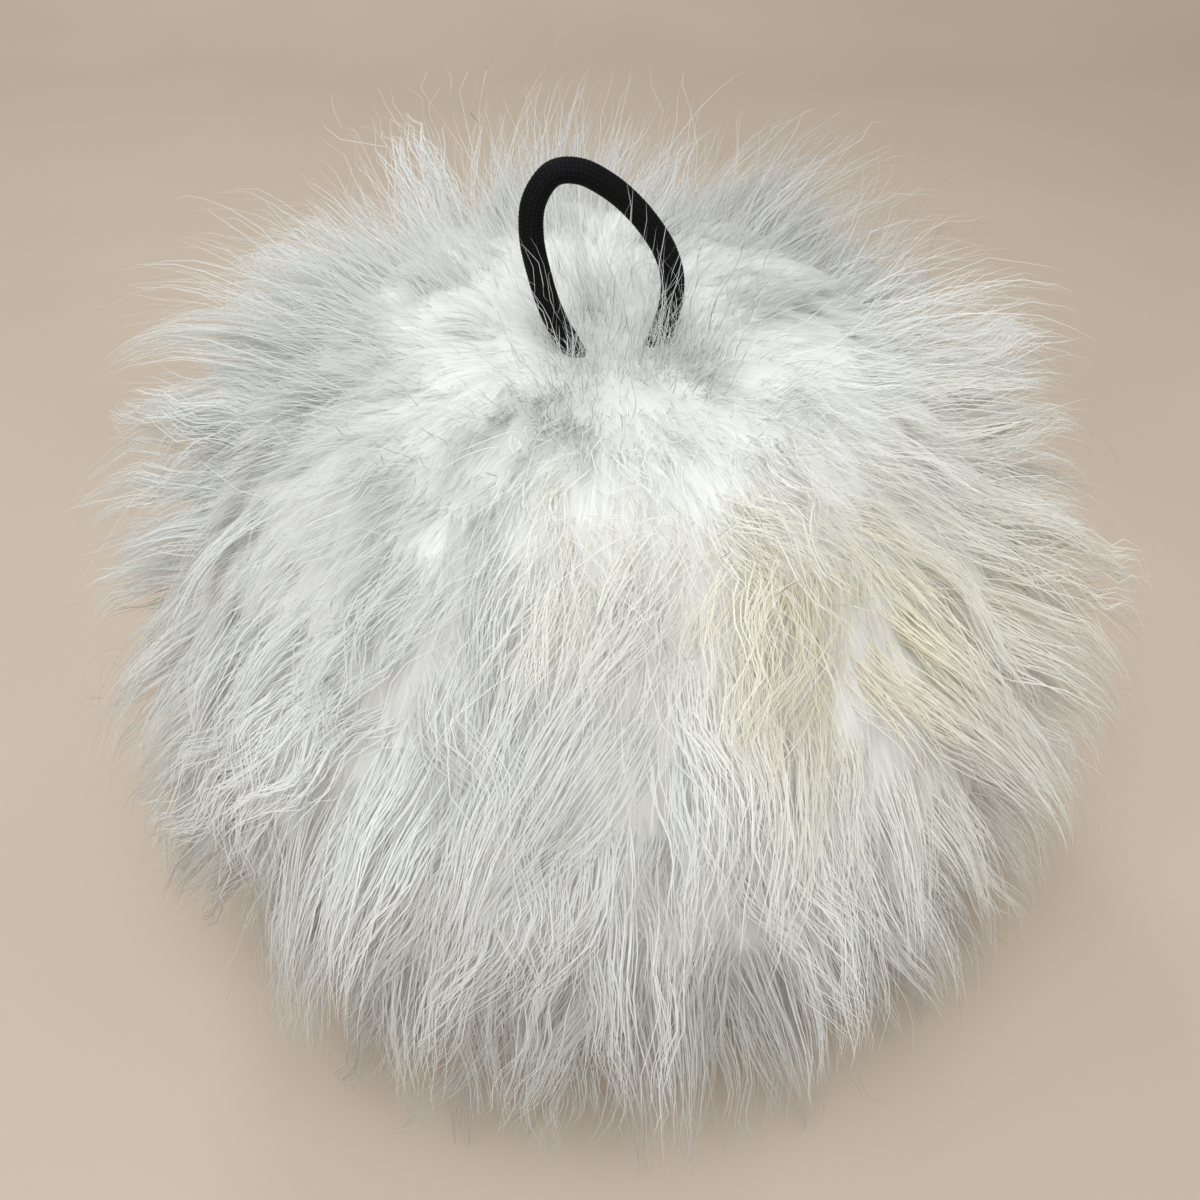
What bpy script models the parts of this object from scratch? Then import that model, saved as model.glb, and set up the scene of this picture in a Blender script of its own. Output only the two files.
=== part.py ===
"""Fur pom-pom: a gathered ball of long-haired pelt over a stuffing, with a round elastic hanging loop.

Metres, +Z up. The origin is the middle of the flat spot that the pile rests on. The gathered mouth
faces up and leans a little to the front, -Y, and the loop stands out of it.
"""

import math

import bmesh
import bpy
import numpy as np
from mathutils import Matrix, Vector

# The ball
BALL_CENTRE_Z = 0.052
CAVITY_RADIUS = 0.030
PILE_REACH = 0.0605
TIP_STAND = 0.0115
TIP_SPREAD = 0.0030

# The way the gathered mouth faces: up, a little to the front and to the right
MOUTH_TILT = math.radians(15.0)
MOUTH_SWING = math.radians(3.0)

# The dimple round the mouth, where the pile parts and lies low
PARTING_DEPTH = 0.0105
PARTING_ANGLE = math.radians(23.0)
PARTING_TRIM = 0.85

# The locks
LOCK_COUNT = 340
LOCK_SEED = 11
LOCK_JITTER = 0.16
LOCK_DROOP = 0.0095
LOCK_CURL = 0.0025
SKIRT_SPREAD = 0.45
LEAN_ROOM = 0.016
SHOULDER_SIDES = 5
SHOULDER_HEIGHT = 0.18
SHOULDER_WIDTH = 0.0033
NECKING_SIDES = 3
NECKING_HEIGHT = 0.62
NECKING_WIDTH = 0.0015

# Clearances
FIT_GAP = 0.0003
LEG_GAP = 0.0004

# The elastic, and the thread that draws the pelt's edge in
CORD_DIAMETER = 0.0028
ROUTE_STEP = 0.0024
THREAD_DIAMETER = 0.0009
THREAD_TURNS = 3
THREAD_TURN_POINTS = 16
THREAD_PITCH = 0.0013

# The knot that joins the elastic's ends
KNOT_CORD_DIAMETER = 0.0026
KNOT_SCALE = 0.00155
KNOT_RISE = 0.00150
KNOT_POINTS = 48

# The gathered mouth
NECK_LENGTH = 0.0066
PLEAT_COUNT = 11
PLEAT_DEPTH = 0.0014

ROUND_STEPS = 40
MERGE_DISTANCE = 0.000001

# What follows from the sizes above
CENTRE = Vector((0.0, 0.0, BALL_CENTRE_Z))
TURN = Matrix.Rotation(MOUTH_SWING, 4, "Y") @ Matrix.Rotation(MOUTH_TILT, 4, "X")
BALL_FRAME = Matrix.Translation(CENTRE)
MOUTH_FRAME = BALL_FRAME @ TURN
MOUTH_AXIS = np.array(TURN @ Vector((0.0, 0.0, 1.0)))
LEG_X = CORD_DIAMETER / 2 + LEG_GAP / 2
THREAD_RADIUS = LEG_X + CORD_DIAMETER / 2 + FIT_GAP + THREAD_DIAMETER / 2
MOUTH_RADIUS = THREAD_RADIUS + THREAD_DIAMETER / 2 + FIT_GAP
NECK_BASE = math.sqrt(CAVITY_RADIUS**2 - MOUTH_RADIUS**2)
NECK_TOP = NECK_BASE + NECK_LENGTH
KNOT_TOP = NECK_BASE - 2 * FIT_GAP
KNOT_HALF_HEIGHT = KNOT_RISE + KNOT_CORD_DIAMETER / 2
KNOT_MIDDLE = KNOT_TOP - KNOT_HALF_HEIGHT
KNOT_RADIUS = 3 * KNOT_SCALE + KNOT_CORD_DIAMETER / 2
LEG_END = KNOT_TOP + FIT_GAP

# The loop above the mouth, from the left leg to the right one, from the ball's centre
LOOP_ROUTE = (
    (-0.0002, -0.0118, 0.0427),
    (-0.0017, -0.0133, 0.0468),
    (-0.0039, -0.0144, 0.0509),
    (-0.0058, -0.0153, 0.0553),
    (-0.0070, -0.0160, 0.0600),
    (-0.0077, -0.0165, 0.0645),
    (-0.0073, -0.0166, 0.0685),
    (-0.0052, -0.0164, 0.0714),
    (-0.0022, -0.0158, 0.0715),
    (0.0009, -0.0149, 0.0697),
    (0.0036, -0.0140, 0.0672),
    (0.0058, -0.0132, 0.0644),
    (0.0076, -0.0125, 0.0613),
    (0.0086, -0.0120, 0.0578),
    (0.0084, -0.0118, 0.0541),
    (0.0073, -0.0117, 0.0505),
    (0.0057, -0.0116, 0.0468),
    (0.0042, -0.0109, 0.0430),
)


def material(name, colour, roughness, sheen=0.0):
    """A Principled material with one colour and roughness."""
    made = bpy.data.materials.new(name)
    made.use_nodes = True
    shader = made.node_tree.nodes["Principled BSDF"]
    shader.inputs["Base Color"].default_value = (*colour, 1.0)
    shader.inputs["Roughness"].default_value = roughness
    shader.inputs["Metallic"].default_value = 0.0
    shader.inputs["Sheen Weight"].default_value = sheen
    return made


def add_object(name, data, collection, finish=None):
    """An object of this mesh or curve in the collection."""
    made = bpy.data.objects.new(name, data)
    collection.objects.link(made)
    if finish is not None:
        data.materials.append(finish)
    return made


def unit(vector):
    """The vector with length one."""
    return vector / np.linalg.norm(vector)


def scattered_directions(count, jitter, generator):
    """Directions evenly spread over a sphere, each moved a little from its place."""
    golden = math.pi * (3.0 - math.sqrt(5.0))
    index = np.arange(count)
    height = 1.0 - (2.0 * index + 1.0) / count
    ring = np.sqrt(1.0 - height**2)
    points = np.stack(
        [ring * np.cos(golden * index), ring * np.sin(golden * index), height], axis=1
    )
    spacing = math.sqrt(4.0 * math.pi / count)
    points += generator.normal(0.0, jitter * spacing, points.shape)
    return points / np.linalg.norm(points, axis=1, keepdims=True)


def comb_direction(direction):
    """The way the pile lies there: away from the mouth above, straight down and out below."""
    combed = unit(direction * (direction @ MOUTH_AXIS) - MOUTH_AXIS)
    outward = np.array([direction[0], direction[1], 0.0])
    outward = outward / max(np.linalg.norm(outward), 1e-6)
    hanging = unit(outward * SKIRT_SPREAD - np.array([0.0, 0.0, 1.0]))
    share = min(1.0, max(0.0, 0.5 - direction[2]))
    return unit(combed * (1.0 - share) + hanging * share)


def parting(direction):
    """How far the pile lies under its full reach, round the mouth."""
    angle = math.acos(min(1.0, max(-1.0, float(direction @ MOUTH_AXIS))))
    return PARTING_DEPTH * math.exp(-((angle / PARTING_ANGLE) ** 2))


def side_directions(direction):
    """Two directions square to this one and to each other."""
    helper = np.array([0.0, 0.0, 1.0]) if abs(direction[2]) < 0.9 else np.array([1.0, 0.0, 0.0])
    first = unit(np.cross(helper, direction))
    return first, np.cross(direction, first)


def valley_directions(centres):
    """The corners where three locks meet: the face middles of the hull round their centres."""
    bm = bmesh.new()
    for centre in centres:
        bm.verts.new(Vector(centre))
    bmesh.ops.convex_hull(bm, input=bm.verts)
    corners = [unit(np.array(face.calc_center_median())) for face in bm.faces]
    bm.free()
    return corners


def lock_stations(centres, generator):
    """Each vertex of the pile as (direction, height up its lock, its lock's reach and curl)."""
    stations = [(corner, 0.0, 0.0, 0.0) for corner in valley_directions(centres)]
    for centre in centres:
        reach = TIP_STAND + generator.uniform(-TIP_SPREAD, TIP_SPREAD)
        curl = generator.uniform(-LOCK_CURL, LOCK_CURL)
        first, second = side_directions(centre)
        stations.append((centre, 1.0, reach, curl))
        rings = (
            (SHOULDER_SIDES, SHOULDER_HEIGHT, SHOULDER_WIDTH),
            (NECKING_SIDES, NECKING_HEIGHT, NECKING_WIDTH),
        )
        for sides, height, width in rings:
            start = generator.uniform(0.0, 2.0 * math.pi)
            for k in range(sides):
                turn = start + 2.0 * math.pi * k / sides
                offset = (first * math.cos(turn) + second * math.sin(turn)) * width
                stations.append((unit(centre + offset / PILE_REACH), height, reach, curl))
    return stations


def pile_point(station):
    """Where a vertex of the pile lies: out along its direction, then over with its lock.

    Below, the pile stops at the level it rests on, and there the locks have no room to lean.
    """
    direction, height, reach, curl = station
    low = parting(direction)
    radius = PILE_REACH - low + reach * height * (1.0 - PARTING_TRIM * low / PARTING_DEPTH)
    if direction[2] < 0.0:
        radius = min(radius, -BALL_CENTRE_Z / direction[2])
    room = min(1.0, max(0.0, (BALL_CENTRE_Z + radius * direction[2]) / LEAN_ROOM))
    room *= 1.0 - low / PARTING_DEPTH
    comb = comb_direction(direction)
    side = np.cross(direction, comb)
    lean = comb * LOCK_DROOP * height**1.6 + side * curl * height**2
    point = direction * radius + lean * room + np.array(CENTRE)
    point[2] = max(point[2], 0.0)
    return point


def pile_mesh():
    """The whole pile's outside, as one closed surface of leaning locks."""
    generator = np.random.default_rng(LOCK_SEED)
    centres = scattered_directions(LOCK_COUNT, LOCK_JITTER, generator)
    stations = lock_stations(centres, generator)
    bm = bmesh.new()
    corners = [bm.verts.new(Vector(station[0])) for station in stations]
    bmesh.ops.convex_hull(bm, input=corners)
    for corner, station in zip(corners, stations):
        corner.co = Vector(pile_point(station))
    bmesh.ops.recalc_face_normals(bm, faces=bm.faces)
    mesh = bpy.data.meshes.new("fur_pelt")
    bm.to_mesh(mesh)
    bm.free()
    return mesh


def turned(name, profile, collection, finish=None):
    """A closed turned solid from a profile of (radius, height) that runs down from pole to pole."""
    mesh = bpy.data.meshes.new(name)
    corners = [(radius, 0.0, height) for radius, height in profile]
    mesh.from_pydata(corners, [(k, k + 1) for k in range(len(corners) - 1)], [])
    made = add_object(name, mesh, collection, finish)
    screw = made.modifiers.new("turn", "SCREW")
    screw.axis = "Z"
    screw.steps = ROUND_STEPS
    screw.render_steps = ROUND_STEPS
    screw.use_merge_vertices = True
    screw.merge_threshold = MERGE_DISTANCE
    screw.use_smooth_shade = True
    made.matrix_world = MOUTH_FRAME
    return made


def arc(radius, middle, start, end, steps):
    """Points of a circle's arc, as (radius, height), between two angles above the level."""
    angles = np.linspace(start, end, steps)
    return [(radius * math.cos(a), middle + radius * math.sin(a)) for a in angles]


def hollow_cutter(collection):
    """The ball's hollow with the neck above it, as one cutter."""
    mouth_angle = math.asin(NECK_BASE / CAVITY_RADIUS)
    profile = [(0.0, NECK_TOP), (MOUTH_RADIUS, NECK_TOP)]
    profile += arc(CAVITY_RADIUS, 0.0, mouth_angle, -math.pi / 2, ROUND_STEPS // 2)
    profile[-1] = (0.0, -CAVITY_RADIUS)
    return turned("hollow_cutter", profile, collection)


def pleat_cutter(collection):
    """The folds of the drawn-in edge, as a fluted prism through the neck."""
    outline = bpy.data.curves.new("pleat_cutter", "CURVE")
    outline.dimensions = "2D"
    outline.fill_mode = "BOTH"
    outline.extrude = NECK_LENGTH / 2
    steps = 8 * PLEAT_COUNT
    spline = outline.splines.new("POLY")
    spline.points.add(steps - 1)
    spline.use_cyclic_u = True
    for k in range(steps):
        turn = 2.0 * math.pi * k / steps
        radius = MOUTH_RADIUS + PLEAT_DEPTH * (0.5 + 0.5 * math.cos(PLEAT_COUNT * turn))
        spline.points[k].co = (radius * math.cos(turn), radius * math.sin(turn), 0.0, 1.0)
    flat = add_object("pleat_outline", outline, collection)
    middle = Vector((0.0, 0.0, (NECK_BASE + NECK_TOP) / 2))
    flat.matrix_world = MOUTH_FRAME @ Matrix.Translation(middle)
    return meshed(flat, "pleat_cutter", collection)


def meshed(source, name, collection):
    """A welded mesh object in place of this curve object."""
    bpy.context.view_layer.update()
    graph = bpy.context.evaluated_depsgraph_get()
    mesh = bpy.data.meshes.new_from_object(source.evaluated_get(graph))
    bm = bmesh.new()
    bm.from_mesh(mesh)
    bmesh.ops.remove_doubles(bm, verts=bm.verts, dist=MERGE_DISTANCE)
    bmesh.ops.recalc_face_normals(bm, faces=bm.faces)
    bm.to_mesh(mesh)
    bm.free()
    made = add_object(name, mesh, collection)
    made.matrix_world = source.matrix_world.copy()
    bpy.data.objects.remove(source)
    return made


def cut(target, cutter):
    """Takes the cutter's shape out of the target."""
    cutter.hide_render = True
    cutter.display_type = "WIRE"
    modifier = target.modifiers.new("cut_" + cutter.name, "BOOLEAN")
    modifier.operation = "DIFFERENCE"
    modifier.object = cutter


def tube(name, points, diameter, collection, finish=None, closed=False):
    """A round cord along these points."""
    line = bpy.data.curves.new(name, "CURVE")
    line.dimensions = "3D"
    line.bevel_depth = diameter / 2
    line.bevel_resolution = 2
    line.use_fill_caps = not closed
    spline = line.splines.new("POLY")
    spline.points.add(len(points) - 1)
    spline.use_cyclic_u = closed
    for corner, point in zip(spline.points, points):
        corner.co = (*point, 1.0)
    return add_object(name, line, collection, finish)


def smooth_route(points, step):
    """Evenly spaced points on the smooth curve through the route's own points."""
    given = np.array(points)
    before = 2.0 * given[0] - given[1]
    after = 2.0 * given[-1] - given[-2]
    padded = np.vstack([before, given, after])
    share = np.linspace(0.0, 1.0, 12, endpoint=False)[:, None]
    dense = []
    for k in range(len(given) - 1):
        a, b, c, d = padded[k : k + 4]
        dense.append(
            0.5
            * (
                2.0 * b
                + (c - a) * share
                + (2.0 * a - 5.0 * b + 4.0 * c - d) * share**2
                + (3.0 * b - a - 3.0 * c + d) * share**3
            )
        )
    dense = np.vstack([*dense, given[-1:]])
    along = np.concatenate([[0.0], np.cumsum(np.linalg.norm(np.diff(dense, axis=0), axis=1))])
    at = np.linspace(0.0, along[-1], round(along[-1] / step) + 1)
    return np.stack([np.interp(at, along, dense[:, k]) for k in range(3)], axis=1)


def elastic_route():
    """The elastic's middle line, from the knot out of the mouth, round the loop and back."""
    left = [TURN @ Vector((-LEG_X, 0.0, height)) for height in (LEG_END, NECK_TOP)]
    right = [TURN @ Vector((LEG_X, 0.0, height)) for height in (NECK_TOP, LEG_END)]
    return smooth_route([*left, *LOOP_ROUTE, *right], ROUTE_STEP)


def leg_cutter(collection):
    """The way that the elastic's two legs keep open through the pile."""
    bore = tube("leg_bore", elastic_route(), CORD_DIAMETER + 2 * FIT_GAP, collection)
    bore.matrix_world = BALL_FRAME
    return meshed(bore, "leg_cutter", collection)


def build_pelt(collection, cutters):
    """The pelt: its pile of locks outside, the hollow and the drawn-in mouth inside."""
    finish = material("white_fur", (0.86, 0.85, 0.81), 0.85, 0.4)
    pelt = add_object("fur_pelt", pile_mesh(), collection, finish)
    cut(pelt, hollow_cutter(cutters))
    cut(pelt, pleat_cutter(cutters))
    cut(pelt, leg_cutter(cutters))
    return pelt


def build_stuffing(collection):
    """The ball of fibre that fills the hollow, dented where the knot lies."""
    finish = material("stuffing_fibre", (0.88, 0.88, 0.87), 0.95)
    radius = CAVITY_RADIUS - FIT_GAP
    pocket_radius = KNOT_RADIUS + FIT_GAP
    pocket_floor = KNOT_MIDDLE - KNOT_HALF_HEIGHT - FIT_GAP
    rim = math.acos(pocket_radius / radius)
    profile = [(0.0, pocket_floor), (pocket_radius, pocket_floor)]
    profile += arc(radius, 0.0, rim, -math.pi / 2, ROUND_STEPS // 2)
    profile[-1] = (0.0, -radius)
    return turned("stuffing", profile, collection, finish)


def build_elastic(collection):
    """The loop of elastic, with both legs down in the mouth."""
    finish = material("black_elastic", (0.012, 0.012, 0.014), 0.8, 0.2)
    elastic = tube("elastic_loop", elastic_route(), CORD_DIAMETER, collection, finish)
    elastic.matrix_world = BALL_FRAME
    return elastic


def build_knot(collection):
    """The overhand knot that joins the loop's ends and is too wide for the mouth."""
    finish = material("black_elastic_knot", (0.012, 0.012, 0.014), 0.8, 0.2)
    points = []
    for k in range(KNOT_POINTS):
        t = 2.0 * math.pi * k / KNOT_POINTS
        points.append(
            (
                KNOT_SCALE * (math.sin(t) + 2.0 * math.sin(2.0 * t)),
                KNOT_SCALE * (math.cos(t) - 2.0 * math.cos(2.0 * t)),
                KNOT_MIDDLE - KNOT_RISE * math.sin(3.0 * t),
            )
        )
    knot = tube("elastic_knot", points, KNOT_CORD_DIAMETER, collection, finish, closed=True)
    knot.matrix_world = MOUTH_FRAME
    return knot


def build_thread(collection):
    """The gathering thread, wound round inside the drawn-in edge."""
    finish = material("waxed_thread", (0.72, 0.69, 0.62), 0.6)
    start = (NECK_BASE + NECK_TOP - THREAD_TURNS * THREAD_PITCH) / 2
    points = []
    for k in range(THREAD_TURNS * THREAD_TURN_POINTS + 1):
        turn = 2.0 * math.pi * k / THREAD_TURN_POINTS
        height = start + THREAD_PITCH * k / THREAD_TURN_POINTS
        points.append((THREAD_RADIUS * math.cos(turn), THREAD_RADIUS * math.sin(turn), height))
    thread = tube("gathering_thread", points, THREAD_DIAMETER, collection, finish)
    thread.matrix_world = MOUTH_FRAME
    return thread


def main():
    """Clears the scene and builds the pom-pom's pieces."""
    for old in list(bpy.data.objects):
        bpy.data.objects.remove(old)
    pompom = bpy.data.collections.new("fur_pom_pom")
    cutters = bpy.data.collections.new("cutters")
    bpy.context.scene.collection.children.link(pompom)
    bpy.context.scene.collection.children.link(cutters)
    build_pelt(pompom, cutters)
    build_stuffing(pompom)
    build_elastic(pompom)
    build_knot(pompom)
    build_thread(pompom)


main()
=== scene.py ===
"""Fur pom-pom: long white pelt gathered into a ball, with a black elastic loop out of its mouth."""

import logging
import math
from dataclasses import dataclass
from enum import Enum

import bpy
import numpy as np
from mathutils import Matrix, Vector


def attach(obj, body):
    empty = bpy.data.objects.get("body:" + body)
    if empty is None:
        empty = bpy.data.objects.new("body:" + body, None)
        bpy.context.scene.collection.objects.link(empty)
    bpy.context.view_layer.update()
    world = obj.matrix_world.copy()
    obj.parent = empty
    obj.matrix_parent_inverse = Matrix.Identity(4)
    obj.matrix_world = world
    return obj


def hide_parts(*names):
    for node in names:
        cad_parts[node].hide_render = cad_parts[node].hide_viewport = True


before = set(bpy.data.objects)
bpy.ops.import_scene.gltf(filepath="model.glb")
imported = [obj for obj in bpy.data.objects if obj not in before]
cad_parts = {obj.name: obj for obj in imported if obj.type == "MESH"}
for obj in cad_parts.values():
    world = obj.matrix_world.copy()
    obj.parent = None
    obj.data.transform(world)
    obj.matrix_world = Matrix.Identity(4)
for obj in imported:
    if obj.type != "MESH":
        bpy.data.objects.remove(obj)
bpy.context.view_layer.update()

Array = np.ndarray
Colour = tuple[float, float, float]
Value = "float | Wire"

LOG = logging.getLogger("pom_pom")
UP = np.array([0.0, 0.0, 1.0])


def unit(vectors: Array) -> Array:
    """The vectors with length one, along the last axis."""
    return vectors / np.maximum(np.linalg.norm(vectors, axis=-1, keepdims=True), 1e-12)


def smooth_step(values: Array, low: float, high: float) -> Array:
    """An even ramp from 0 at low to 1 at high, level at both ends.

    Args:
        values: what is ramped.
        low: where the ramp leaves 0.
        high: where it reaches 1.

    Returns:
        3 s squared less 2 s cubed, where s is the share of the way from low to high.
    """
    share = np.clip((values - low) / (high - low), 0.0, 1.0)
    return share * share * (3.0 - 2.0 * share)


def spiral(count: int, jitter: float, seed: int) -> Array:
    """Directions on a golden spiral over a whole ball, each moved a little.

    Args:
        count: how many directions.
        jitter: how far they move, as a share of their spacing.
        seed: the start of the random numbers.

    Returns:
        Unit vectors.
    """
    chance = np.random.default_rng(seed)
    golden = math.pi * (3.0 - math.sqrt(5.0))
    index = np.arange(count)
    height = 1.0 - (2.0 * index + 1.0) / count
    ring = np.sqrt(1.0 - height**2)
    points = np.stack([ring * np.cos(golden * index), ring * np.sin(golden * index), height], 1)
    spacing = math.sqrt(4.0 * math.pi / count)
    return unit(points + chance.normal(0.0, jitter * spacing, points.shape))


class Wire:
    """A shader socket whose operators add Math nodes to its tree."""

    def __init__(self, bench: "Bench", socket: bpy.types.NodeSocket) -> None:
        """Keeps the bench and the socket."""
        self.bench = bench
        self.socket = socket

    def sum_with(self, operation: str, first: Value, second: Value) -> "Wire":
        """A Math node of this operation on the two values."""
        return self.bench.add("ShaderNodeMath", {"operation": operation}, {0: first, 1: second})

    def wave(self) -> "Wire":
        """The sine of this."""
        return self.sum_with("SINE", self, 0.0)

    def __add__(self, other: Value) -> "Wire":
        """This plus the other."""
        return self.sum_with("ADD", self, other)

    def __radd__(self, other: Value) -> "Wire":
        """The other plus this."""
        return self.sum_with("ADD", other, self)

    def __sub__(self, other: Value) -> "Wire":
        """This less the other."""
        return self.sum_with("SUBTRACT", self, other)

    def __rsub__(self, other: Value) -> "Wire":
        """The other less this."""
        return self.sum_with("SUBTRACT", other, self)

    def __mul__(self, other: Value) -> "Wire":
        """This times the other."""
        return self.sum_with("MULTIPLY", self, other)


class Bench:
    """The node tree of one material, with one method that adds any node."""

    def __init__(self, name: str) -> None:
        """Makes an empty material of this name."""
        self.material = bpy.data.materials.new(name)
        self.material.use_nodes = True
        self.tree = self.material.node_tree
        self.tree.nodes.clear()

    def add(
        self, kind: str, settings: dict[str, object], inputs: dict[object, object], output: int = 0
    ) -> Wire:
        """Adds a node.

        Args:
            kind: the node's type.
            settings: its properties; a ramp's stops are given as "stops".
            inputs: values or wires by socket name or number.
            output: which of its outputs is wanted.

        Returns:
            The wire of that output.
        """
        node = self.tree.nodes.new(kind)
        for name, value in settings.items():
            if name == "stops":
                self.set_stops(node, value)
            else:
                setattr(node, name, value)
        for name, value in inputs.items():
            if isinstance(value, Wire):
                self.tree.links.new(value.socket, node.inputs[name])
            else:
                node.inputs[name].default_value = value
        return Wire(self, node.outputs[output] if len(node.outputs) else None)

    @staticmethod
    def set_stops(node: bpy.types.Node, stops: list[tuple[float, tuple]]) -> None:
        """Gives a ramp these stops, each a place and a colour."""
        ramp = node.color_ramp
        while len(ramp.elements) < len(stops):
            ramp.elements.new(0.5)
        for element, (place, colour) in zip(ramp.elements, stops):
            element.position = place
            element.color = (*colour, 1.0)

    def mix(self, factor: Value, first: object, second: object, way: str = "MIX") -> Wire:
        """The two colours mixed by the factor."""
        settings = {"data_type": "RGBA", "blend_type": way}
        return self.add("ShaderNodeMix", settings, {0: factor, 6: first, 7: second}, 2)

    def own_map(self) -> Wire:
        """The piece's own map."""
        return self.add("ShaderNodeUVMap", {"uv_map": "OFBake"}, {})

    def own_place(self) -> Wire:
        """The place on the piece, in the object's coordinates."""
        return self.add("ShaderNodeTexCoord", {}, {}, 3)

    def apart(self, place: Wire) -> tuple[Wire, Wire]:
        """The first two numbers of a place."""
        first = self.add("ShaderNodeSeparateXYZ", {}, {0: place})
        return first, Wire(self, first.socket.node.outputs[1])

    def noise(self, place: Wire, scale: float, detail: float) -> Wire:
        """Noise from 0 to 1 at this place."""
        inputs = {"Vector": place, "Scale": scale, "Detail": detail, "Roughness": 0.55}
        return self.add("ShaderNodeTexNoise", {}, inputs)

    def stretched(self, place: Wire, scale: tuple[float, float, float]) -> Wire:
        """The place with each axis scaled by itself."""
        return self.add("ShaderNodeVectorMath", {"operation": "MULTIPLY"}, {0: place, 1: scale})

    def ramp(self, value: Wire, stops: list[tuple[float, tuple]]) -> Wire:
        """The colour that the stops give for this value."""
        return self.add("ShaderNodeValToRGB", {"stops": stops}, {"Fac": value})

    def bump(self, height: Wire, distance: float, strength: float) -> Wire:
        """A normal tilted by the height."""
        inputs = {"Height": height, "Distance": distance, "Strength": strength}
        return self.add("ShaderNodeBump", {}, inputs)

    def matt(self, inputs: dict[str, object]) -> bpy.types.Material:
        """The material with one plain shader of these inputs."""
        return self.finish(self.add("ShaderNodeBsdfPrincipled", {}, inputs))

    def finish(self, surface: Wire) -> bpy.types.Material:
        """Wires the surface to the output and gives the material."""
        self.add("ShaderNodeOutputMaterial", {}, {"Surface": surface})
        return self.material


@dataclass(frozen=True)
class FurFinish:
    """Hair with painted shade at its root, whitening towards its tip.

    A strand's map runs from root to tip in V, and its U picks the tone. From 0 to where the
    staining starts, the hair goes from the painted shade of the valleys between locks to the
    white of the crests, and from there to 1 it turns to the staining colour, which also paints
    the tan shade on the right side. The staining loses the share fading of itself by the tip.
    """

    name: str = "white_hair"
    # Painted shade: the root is darker than the tip, and the valley colour greys the hair between
    # locks. The staining colour below also paints the tan shade on the right side.
    root: Colour = (0.90, 0.905, 0.885)
    tip: Colour = (0.93, 0.945, 0.935)
    valley: Colour = (0.68, 0.675, 0.655)
    stain_and_shade: Colour = (0.87, 0.79, 0.56)
    roughness: float = 0.48
    gloss: float = 0.35
    let_through: float = 0.30
    stain_and_shade_from: float = 0.68
    fading: float = 0.4

    def make(self) -> bpy.types.Material:
        """Builds the material from the strand's own map.

        Returns:
            A soft gloss over hair that whitens towards its tip and lets some light through.
        """
        bench = Bench(self.name)
        across, along = bench.apart(bench.own_map())
        # Painted shade: darker towards the root and, by the tone, in the valleys between locks.
        length_tone = bench.ramp(along, [(0.0, self.root), (0.5, self.tip), (1.0, self.tip)])
        height_tone = bench.ramp(across, [(0.0, self.valley), (self.stain_and_shade_from, (1.0, 1.0, 1.0))])
        toned = bench.mix(1.0, length_tone, height_tone, "MULTIPLY")
        amount = (across - self.stain_and_shade_from) * (1.0 / (1.0 - self.stain_and_shade_from))
        clamped = bench.add("ShaderNodeClamp", {}, {"Value": amount})
        amount = clamped * (1.0 - along * self.fading)
        # The staining colour here also paints the tan shade on the right side.
        colour = bench.mix(amount, toned, (*self.stain_and_shade, 1.0))
        inputs = {
            "Base Color": colour,
            "Roughness": self.roughness,
            "Specular IOR Level": self.gloss,
        }
        gloss = bench.add("ShaderNodeBsdfPrincipled", {}, inputs)
        glow = bench.add("ShaderNodeBsdfTranslucent", {}, {"Color": colour})
        return bench.finish(
            bench.add("ShaderNodeMixShader", {}, {0: self.let_through, 1: gloss, 2: glow})
        )


@dataclass(frozen=True)
class MottledFinish:
    """A matt surface that noise mottles between two colours: wool, fibre, thread or paper.

    Scales are how fine the noise is each way, in the object's coordinates or, where it is mapped,
    in the piece's own map. The noise goes from low to high between the two stops.
    """

    name: str
    low: Colour
    high: Colour
    scales: tuple[float, float, float]
    detail: float = 1.0
    stops: tuple[float, float] = (0.3, 0.7)
    roughness: float = 0.92
    gloss: float = 0.5
    relief: float = 0.0
    mapped: bool = False

    def make(self) -> bpy.types.Material:
        """Builds the material.

        Returns:
            The two colours in a soft mottle, with a bump of the same noise where it has relief.
        """
        bench = Bench(self.name)
        place = bench.own_map() if self.mapped else bench.own_place()
        cloud = bench.noise(bench.stretched(place, self.scales), 1.0, self.detail)
        inputs = {
            "Base Color": bench.ramp(cloud, list(zip(self.stops, (self.low, self.high)))),
            "Roughness": self.roughness,
            "Specular IOR Level": self.gloss,
        }
        if self.relief:
            inputs["Normal"] = bench.bump(cloud, self.relief, 0.6)
        return bench.matt(inputs)


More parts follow.
